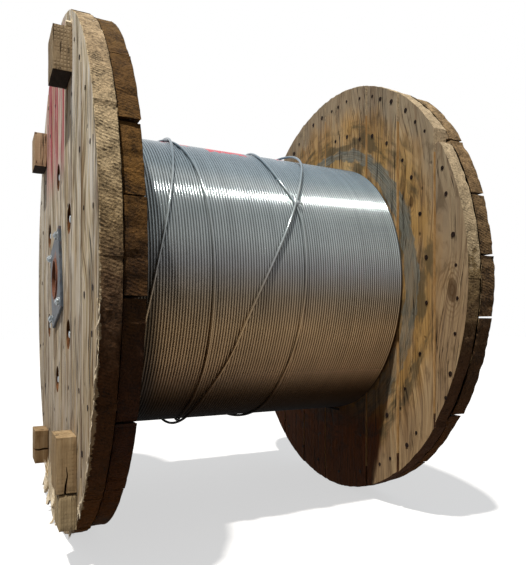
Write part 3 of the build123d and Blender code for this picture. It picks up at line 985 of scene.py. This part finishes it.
def hub_plates():
    """Two flame-cut square plates with eased edges and the hole for the hub pipe."""
    sides = 64
    verts, faces = [], []
    for side in (-1, 1):
        first = len(verts)
        low, high = OUTER_FACE, OUTER_FACE + PLATE_THICK
        rows = ((low, 51.1, 0), (high - 0.8, 51.1, 0), (high, 51.9, 0), (high, PLATE_SIDE - 2.4, 1),
                (high - 0.5, PLATE_SIDE - 0.6, 1), (high - 1.3, PLATE_SIDE, 1), (low, PLATE_SIDE, 1))
        for x, size, square in rows:
            for k in range(sides):
                a = 2 * math.pi * k / sides
                r = size
                if square:
                    r = min(size / 2 / math.cos((a + math.pi / 4) % (math.pi / 2) - math.pi / 4), size / 2 * 1.397)
                verts.append(place(side * x, r * math.cos(a + PLATE_TURN), r * math.sin(a + PLATE_TURN)))
        for n in range(len(rows)):
            for k in range(sides):
                m, after = (k + 1) % sides, (n + 1) % len(rows)
                faces.append((first + n * sides + k, first + n * sides + m,
                              first + after * sides + m, first + after * sides + k))
    piece = make_piece("hub_plates_rolled", verts, faces, [hub_steel], "hub_steel")
    tidy_normals(piece)
    settle(piece, "hub_plates")


hub_plates()


def copies_on_points(material):
    """A Geometry Nodes tree: one small part set on every point, each turned and sized a little differently."""
    tree = bpy.data.node_groups.new("copies_on_points", "GeometryNodeTree")
    for name, kind in (("Geometry", "Geometry"), ("Part", "Object"), ("Turn", "Vector"), ("Wander", "Vector"),
                       ("Smallest", "Float"), ("Largest", "Float"), ("Seed", "Int")):
        tree.interface.new_socket(name, in_out="INPUT", socket_type="NodeSocket" + kind)
    tree.interface.new_socket("Geometry", in_out="OUTPUT", socket_type="NodeSocketGeometry")
    given = add(tree, "NodeGroupInput", out=None).outputs
    part = add(tree, "GeometryNodeObjectInfo", {"Object": given["Part"]}, out="Geometry")
    back = add(tree, "ShaderNodeVectorMath", {0: given["Wander"], "Scale": -1.0}, operation="SCALE")
    swing = add(tree, "FunctionNodeRandomValue", {0: back, 1: given["Wander"], "Seed": given["Seed"]},
                data_type="FLOAT_VECTOR")
    turn = add(tree, "ShaderNodeVectorMath", {0: swing, 1: given["Turn"]}, operation="ADD")
    size = add(tree, "FunctionNodeRandomValue", {
        2: given["Smallest"], 3: given["Largest"], "Seed": given["Seed"]}, out=1, data_type="FLOAT")
    set_down = add(tree, "GeometryNodeInstanceOnPoints", {
        "Points": given["Geometry"], "Instance": part, "Rotation": turn, "Scale": size})
    real = add(tree, "GeometryNodeRealizeInstances", {"Geometry": set_down})
    painted = add(tree, "GeometryNodeSetMaterial", {"Geometry": real, "Material": material})
    add(tree, "NodeGroupOutput", {0: painted}, out=None)
    return tree


def scatter(name, part, spots, material, slot, seed, turn=(0, 0, 0), wander=(0, 0, 0), sizes=(1.0, 1.0)):
    """Copies of a part, which is modelled about the frame's origin, on the given places."""
    piece = make_piece(name, [place(*spot) for spot in spots], [], [material], slot)
    modifier = piece.modifiers.new("copies", "NODES")
    modifier.node_group = copies_on_points(material)
    set_inputs(modifier, modifier.node_group, part=part, turn=turn, wander=wander,
               smallest=sizes[0], largest=sizes[1], seed=seed)
    bake_modifiers(piece)
    settle(piece)
    return piece


def small_part(name, stations, sides):
    """A small part of rings along X about the origin: stations are (x, section, size)."""
    verts, faces = [], []
    for x, shape, size in stations:
        verts += [Vector((x, a, b)) * MM for a, b in ring_of(shape, size, sides)]
    for n in range(len(stations) - 1):
        for k in range(sides):
            m = (k + 1) % sides
            faces.append((n * sides + k, n * sides + m, (n + 1) * sides + m, (n + 1) * sides + k))
    last = (len(stations) - 1) * sides
    faces += [tuple(range(sides))[::-1], tuple(range(last, last + sides))]
    part = make_piece(name, verts, faces, [], None)
    tidy_normals(part)
    return part


def hub_bolts():
    """Four bolts through each hub plate: nuts on the open side, low round heads on the other."""
    nut = small_part("plate_nut", (
        (2, "round", 22), (-0.8, "round", 22), (-1.2, "round", 21), (-1.2, "round", 15.5), (-1.8, "hex", 17),
        (-6.6, "hex", 17), (-7.4, "round", 15.5), (-7.4, "round", 9.4), (-8.2, "round", 10), (-9, "round", 9.2),
        (-9.8, "round", 10), (-10.4, "round", 8)), 24)
    scatter("hub_plate_nuts", nut, [(-443, y, z) for y, z in HUB_BOLTS], bolt_zinc, "zinc_hardware", 3,
            wander=(0.5, 0, 0))
    head = small_part("plate_head", (
        (-2, "round", 26), (0.4, "round", 27), (1.4, "round", 25), (2.3, "round", 18), (2.8, "round", 8)), 24)
    scatter("hub_plate_heads", head, [(443, y, z) for y, z in HUB_BOLTS], bolt_zinc, "zinc_hardware", 4)
    for part in (nut, head):
        bpy.data.objects.remove(part)


hub_bolts()

# ---- nails ----
OUTER_NAILS = [
    (262, 496), (226, 518), (124, 554), (66, 559), (4, 561), (-35, 562), (-83, 563), (-155, 548), (-220, 532),
    (-258, 511), (-309, 487), (-371, 443), (-411, 401), (-448, 367), (-513, 260), (-526, 196), (-550, 96),
    (-560, 24), (-565, -53), (-557, -135), (-541, -229), (-525, -287), (-415, -386), (-377, -424),
    (-304, -472), (-256, -497)]
INNER_NAILS = [
    (-19, 460), (-86, 455), (-155, 430), (-219, 420), (-288, 381), (-358, 317), (-395, 264), (-430, 165),
    (-454, 53), (-455, -59), (-430, -186), (-368, -279), (-290, -357), (-160, -432), (78, -461)]


def nail_ring(radius, count, start):
    """Nails driven by eye round a ring."""
    spots = []
    for k in range(count):
        turn = math.radians(start + (k + 0.3 * wobble(k * 7.7, radius, start, 5)) * 360 / count)
        here = radius + 9 * wobble(k * 3.3, start, radius, 4)
        spots.append((here * math.sin(turn), here * math.cos(turn)))
    return spots


def nails():
    """Nail heads in two rings on every face, black with age."""
    unseen = [(y, z) for y, z in nail_ring(560, 30, 4) if y > 262 or (y > -256 and z < -480)]
    unseen += [(y, z) for y, z in nail_ring(458, 18, 9) if y > 90]
    faces = (("near_outer", -OUTER_FACE, -1, nail_ring(556, 30, 2) + nail_ring(452, 17, 5)),
             ("near_inner", -357.0, 1, nail_ring(560, 30, 7) + nail_ring(458, 18, 11)),
             ("far_inner", 357.0, -1, OUTER_NAILS + INNER_NAILS + unseen),
             ("far_outer", OUTER_FACE, 1, nail_ring(557, 30, 1) + nail_ring(455, 17, 3)))
    for seed, (ply, x, outward, spots) in enumerate(faces):
        head = small_part("nail", (
            (-2.5 * outward, "round", 9), (-0.3 * outward, "round", 11), (0.3 * outward, "round", 10),
            (0.1 * outward, "round", 5)), 10)
        scatter(ply + "_nail_heads", head, [(x, y, z) for y, z in spots], nail_iron,
                ("near" if x < 0 else "far") + "_flange_wood", seed + 11, wander=(3, 0.05, 0.05), sizes=(0.8, 1.25))
        bpy.data.objects.remove(head)


nails()


# ---- torn wood ----
def splinter():
    """A torn sliver along Z: thin, bent and pointed."""
    rows = 7
    verts, faces = [], []
    for n in range(rows):
        share = n / (rows - 1)
        wide = (0.2 + math.sin(math.pi * min(1, share * 1.25 + 0.05)) ** 0.7 if share < 0.75 else 1.4 * (1.02 - share)) * 2.6
        thick = 0.75 * (1.05 - share)
        bend = 2.4 * share ** 2
        z = 30 * (share - 0.35)
        for a, b in ((-1, -1), (1, -1), (1, 1), (-1, 1)):
            verts.append(Vector((thick * a - bend, wide * b + 0.9 * math.sin(share * 5), z)) * MM)
    for n in range(rows - 1):
        for k in range(4):
            m = (k + 1) % 4
            faces.append((n * 4 + k, n * 4 + m, (n + 1) * 4 + m, (n + 1) * 4 + k))
    faces += [(0, 1, 2, 3), tuple(range((rows - 1) * 4, rows * 4))]
    part = make_piece("splinter", verts, faces, [], None)
    tidy_normals(part)
    return part


def torn_edges():
    """Cream splinters hanging over the lower front edge, and the torn corner at the back of the foot."""
    part = splinter()
    spots = []
    for k in range(150):
        turn = math.radians(98 + 62 * k / 149)
        radius = 605.5 - 2.5 * abs(wobble(k * 3.1, 4, 9, 5))
        spots.append((-OUTER_FACE + 1.5 + 2.5 * abs(wobble(k * 5.3, 2, 3, 4)),
                      -radius * math.sin(turn), radius * math.cos(turn)))
    scatter("edge_splinters", part, spots, torn_wood, "near_flange_wood", 21,
            turn=(math.pi, 0, 0), wander=(0.35, 0.12, 0.6), sizes=(0.3, 0.95))
    torn = []
    for k in range(64):
        turn = math.radians(178 + 28 * ((k * 0.618) % 1))
        radius = 588 - 56 * ((k * 0.387) % 1) ** 1.4
        torn.append((-OUTER_FACE - 1.5 - 5 * abs(wobble(k * 2.9, 7, 1, 4)),
                     -radius * math.sin(turn), radius * math.cos(turn)))
    foot = scatter("torn_foot", part, torn, torn_wood, "near_flange_wood", 34,
                   turn=(0, 0.1, 0), wander=(0.14, 0.2, 0.5), sizes=(1.1, 3.6))
    for vertex in foot.data.vertices:
        vertex.co.z = max(vertex.co.z, cad_low.z + 0.0008)
    bpy.data.objects.remove(part)


torn_edges()


# ---- twist tie ----
def twist_tie():
    """Two turns of thin bright wire that hold the crossing strands together."""
    spots = []
    for k in range(75):
        a = 2 * math.pi * k / 25
        along = -5 + 10 * k / 74
        spots.append((along, 5.2 * math.cos(a), 4.6 * math.sin(a)))
    tilt = math.radians(58)
    radial = Vector((0, -math.sin(math.radians(61)), math.cos(math.radians(61))))
    tangent = Vector((0, radial.z, -radial.y))
    run = Vector((0.35, 0, 0)) + tangent * 0.94
    run.normalize()
    across = run.cross(radial)
    middle = place(69, 0, 0) + radial * (WINDING_RADIUS + 9.2) * MM
    line = [middle + (run * a + across * b * 1.5 + radial * c) * MM for a, b, c in spots]
    piece = tube("twisted_tie_wire", line, 0.8 * MM, 8, bolt_zinc, "tail_strand")
    tidy_normals(piece)
    settle(piece)


twist_tie()


# ---- cleats ----
# Splits in a cleat's front face as (x, z, half width) points down the crack, and how deep.
CLEAT_SPLITS = {
    "near_cleat_3": ([(-478, -462, 1.7), (-462, -464, 2.4), (-448, -462, 2.6), (-430, -463, 2.0)], 238, 30),
    "near_cleat_4": ([(-456, -395, 0.5), (-454, -412, 1.2), (-457, -430, 1.8), (-459, -452, 2.2)], -352, 22)}


def split_cutter(split):
    """A thin crooked wedge to cut a split with."""
    line, front, depth = split
    upright = abs(line[0][1] - line[-1][1]) > abs(line[0][0] - line[-1][0])
    verts, faces = [], []
    for x, z, half in line:
        for y in (front - 3, front + depth):
            for side in (-half, half):
                verts.append(place(x + (side if upright else 0), y, z + (0 if upright else side)))
    for n in range(len(line) - 1):
        for a, b in ((0, 1), (1, 3), (3, 2), (2, 0)):
            faces.append((n * 4 + a, n * 4 + b, n * 4 + 4 + b, n * 4 + 4 + a))
    last = 4 * (len(line) - 1)
    faces += [(0, 1, 3, 2), (last, last + 1, last + 3, last + 2)]
    cutter = make_piece("split", verts, faces, [bored_wood], None)
    tidy_normals(cutter)
    return cutter


def cleat(node, seed):
    """A sawn offcut with uneven arrises."""
    low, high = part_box(node)
    steps = 8
    verts, faces, index = [], [], {}
    for i in range(steps + 1):
        for j in range(steps + 1):
            for k in range(steps + 1):
                if min(i, j, k) > 0 and max(i, j, k) < steps:
                    continue
                share = (i / steps, j / steps, k / steps)
                spot = Vector(low[n] + (high[n] - low[n]) * share[n] for n in range(3))
                mid = (low + high) / 2
                edges = sum(s in (0, 1) for s in share)
                pull = 0.0004 * (1 + wobble(*(spot * 1000), 9)) + (0.0008 if edges > 1 else 0)
                for n in range(3):
                    if share[n] in (0, 1) and not (n == 0 and share[0] == 1):
                        spot[n] += pull if share[n] == 0 else -pull
                index[i, j, k] = len(verts)
                verts.append(spot)
    for n in range(3):
        for fixed in (0, steps):
            for a in range(steps):
                for b in range(steps):
                    corners = []
                    for da, db in ((0, 0), (1, 0), (1, 1), (0, 1)):
                        key = [a + da, b + db]
                        key.insert(n, fixed)
                        corners.append(index[tuple(key)])
                    faces.append(corners)
    # The two top cleats' undersides take the near-black wood: painted shade.
    painted_shade = [1 if faces[k] and 4 * steps * steps <= k < 5 * steps * steps and seed < 3 else 0
            for k in range(len(faces))]
    piece = make_piece(node + "_offcut", verts, faces, [cleat_wood, painted_shade_wood], "cleat_wood", painted_shade)
    tidy_normals(piece)
    if node in CLEAT_SPLITS:
        splits = split_cutter(CLEAT_SPLITS[node])
        cut = piece.modifiers.new("splits", "BOOLEAN")
        cut.operation = "DIFFERENCE"
        cut.solver = "EXACT"
        cut.material_mode = "TRANSFER"
        cut.object = splits
        bake_modifiers(piece)
        bpy.data.objects.remove(splits)
    tone = piece.data.attributes.new("tone", "FLOAT", "POINT")
    tone.data.foreach_set("value", [(seed - 1) * 0.2 + 0.05] * len(piece.data.vertices))
    settle(piece, node)


for number in range(1, 6):
    cleat(f"near_cleat_{number}", number)


def pale_chip():
    """A pale split-off chip lying on the top cleat against the boards."""
    verts = []
    for x in (-448.5, -437.6):
        for k, (y, z) in enumerate(((-279, 503.5), (-246, 503.5), (-242, 512), (-255, 523), (-270, 519), (-281, 511))):
            verts.append(place(x + 1.5 * wobble(y, z, x, 9), y, z))
    faces = [(0, 1, 2, 3, 4, 5), (11, 10, 9, 8, 7, 6)]
    faces += [(k, (k + 1) % 6, 6 + (k + 1) % 6, 6 + k) for k in range(6)]
    chip = make_piece("pale_chip", verts, faces, [torn_wood], "cleat_wood")
    tidy_normals(chip)
    settle(chip)


pale_chip()

for name, finish in (("hub_bushings", bushing_steel), ("barrel_staves", bored_wood)):
    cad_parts[name].data.materials.clear()
    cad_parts[name].data.materials.append(finish)


# ---- floor and light ----
def stage():
    """A pale floor, soft daylight from a pale surround, and a low sun lamp high in front."""
    floor = make_piece("floor", [(-30, -30, 0), (30, -30, 0), (30, 30, 0), (-30, 30, 0)],
                       [(0, 1, 2, 3)], [], None)
    del floor["wanted_slot"]
    made = bpy.data.materials.new("pale_floor")
    made.use_nodes = True
    world = bpy.data.worlds.new("surround")
    world.use_nodes = True
    bpy.context.scene.world = world
    seen = []
    for tree in (made.node_tree, world.node_tree):
        rays = add(tree, "ShaderNodeLightPath", out=None).outputs
        either = add(tree, "ShaderNodeMath", {0: rays["Is Camera Ray"], 1: rays["Is Glossy Ray"]},
                     operation="MAXIMUM")
        seen.append(add(tree, "ShaderNodeMath", {0: either, 1: rays["Is Transmission Ray"]}, operation="MAXIMUM"))
    tree = made.node_tree
    dull = add(tree, "ShaderNodeBsdfDiffuse", {"Color": linear("4a3826")})
    white = add(tree, "ShaderNodeEmission", {"Color": (1, 1, 1, 1), "Strength": 1.0})
    bright = add(tree, "ShaderNodeBsdfDiffuse", {"Color": (1, 1, 1, 1)})
    pale = add(tree, "ShaderNodeMixShader", {0: 0.6, 1: bright, 2: white})
    mix = add(tree, "ShaderNodeMixShader", {0: seen[0], 1: dull, 2: pale})
    tree.links.new(mix, tree.nodes["Material Output"].inputs["Surface"])
    floor.data.materials.append(made)
    tree = world.node_tree
    soft = add(tree, "ShaderNodeBackground", {"Color": (0.84, 0.92, 1.0, 1), "Strength": 0.24})
    white = add(tree, "ShaderNodeBackground", {"Color": (1, 1, 1, 1), "Strength": 1.0})
    mix = add(tree, "ShaderNodeMixShader", {0: seen[1], 1: soft, 2: white})
    tree.links.new(mix, tree.nodes["World Output"].inputs["Surface"])
    lamp = bpy.data.lights.new("key", "SUN")
    lamp.energy = 4.3
    lamp.angle = math.radians(2)
    lamp.color = (1.0, 0.96, 0.9)
    key = bpy.data.objects.new("key", lamp)
    bpy.context.scene.collection.objects.link(key)
    key.rotation_euler = Vector((-0.3, -0.27, 1)).to_track_quat("Z", "Y").to_euler()


stage()
